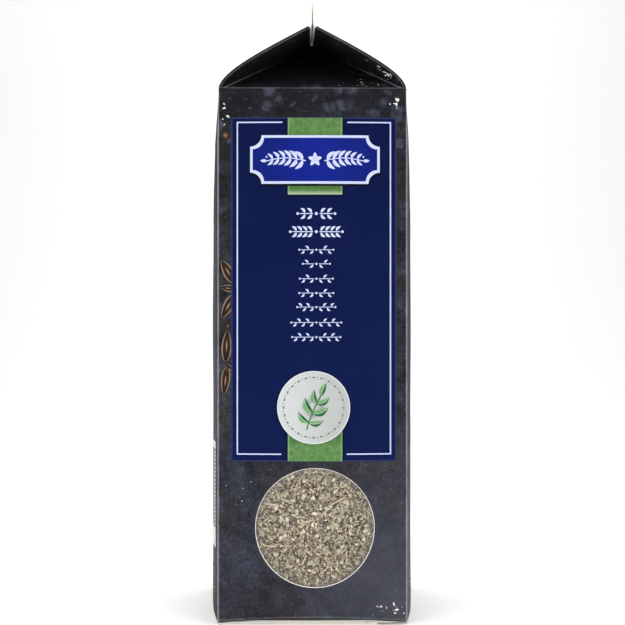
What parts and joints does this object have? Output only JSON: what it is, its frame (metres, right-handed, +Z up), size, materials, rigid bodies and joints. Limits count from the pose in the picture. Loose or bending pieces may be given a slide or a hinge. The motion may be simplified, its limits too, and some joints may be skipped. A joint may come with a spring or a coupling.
{
  "type": "gable-top carton of rubbed sage",
  "caption": "Tall dark gable-top board carton with a sealed ridge fin, tucked gusset ends and a round film window low in front that shows the rubbed sage inside.",
  "frame": {"origin": "middle of the foot's footprint, on the surface the carton stands on", "axes": "+Z up towards the ridge fin, -Y out through the window, +X to the right seen from the window side"},
  "size_m": [0.0784, 0.0748, 0.232],
  "materials": {
    "printed_board": "satin varnished charcoal print on white-lined paperboard, cream where unprinted",
    "clear_film": "clear glossy film",
    "rubbed_sage": "matt grey-green dried herb crumbs",
    "sage_stem": "matt pale dried stem",
    "sage_leaf": "matt felted dried leaf"
  },
  "bodies": {
    "root": {"carton_blank": "printed_board", "window_film": "clear_film", "sage_fill": "rubbed_sage", "stem_bit_01": "sage_stem", "stem_bit_02": "sage_stem", "stem_bit_03": "sage_stem", "stem_bit_04": "sage_stem", "stem_bit_05": "sage_stem", "stem_bit_06": "sage_stem", "stem_bit_07": "sage_stem", "stem_bit_08": "sage_stem", "stem_bit_09": "sage_stem", "stem_bit_10": "sage_stem", "stem_bit_11": "sage_stem", "stem_bit_12": "sage_stem", "stem_bit_13": "sage_stem", "stem_bit_14": "sage_stem", "leaf_flake_01": "sage_leaf", "leaf_flake_02": "sage_leaf", "leaf_flake_03": "sage_leaf", "leaf_flake_04": "sage_leaf", "leaf_flake_05": "sage_leaf", "leaf_flake_06": "sage_leaf", "leaf_flake_07": "sage_leaf", "leaf_flake_08": "sage_leaf", "leaf_flake_09": "sage_leaf", "leaf_flake_10": "sage_leaf", "leaf_flake_11": "sage_leaf", "leaf_flake_12": "sage_leaf", "leaf_flake_13": "sage_leaf", "leaf_flake_14": "sage_leaf", "leaf_flake_15": "sage_leaf", "leaf_flake_16": "sage_leaf", "leaf_flake_17": "sage_leaf", "leaf_flake_18": "sage_leaf", "leaf_flake_19": "sage_leaf", "leaf_flake_20": "sage_leaf", "leaf_flake_21": "sage_leaf", "leaf_flake_22": "sage_leaf", "leaf_flake_23": "sage_leaf", "leaf_flake_24": "sage_leaf", "leaf_flake_25": "sage_leaf", "leaf_flake_26": "sage_leaf"}
  },
  "joints": []
}
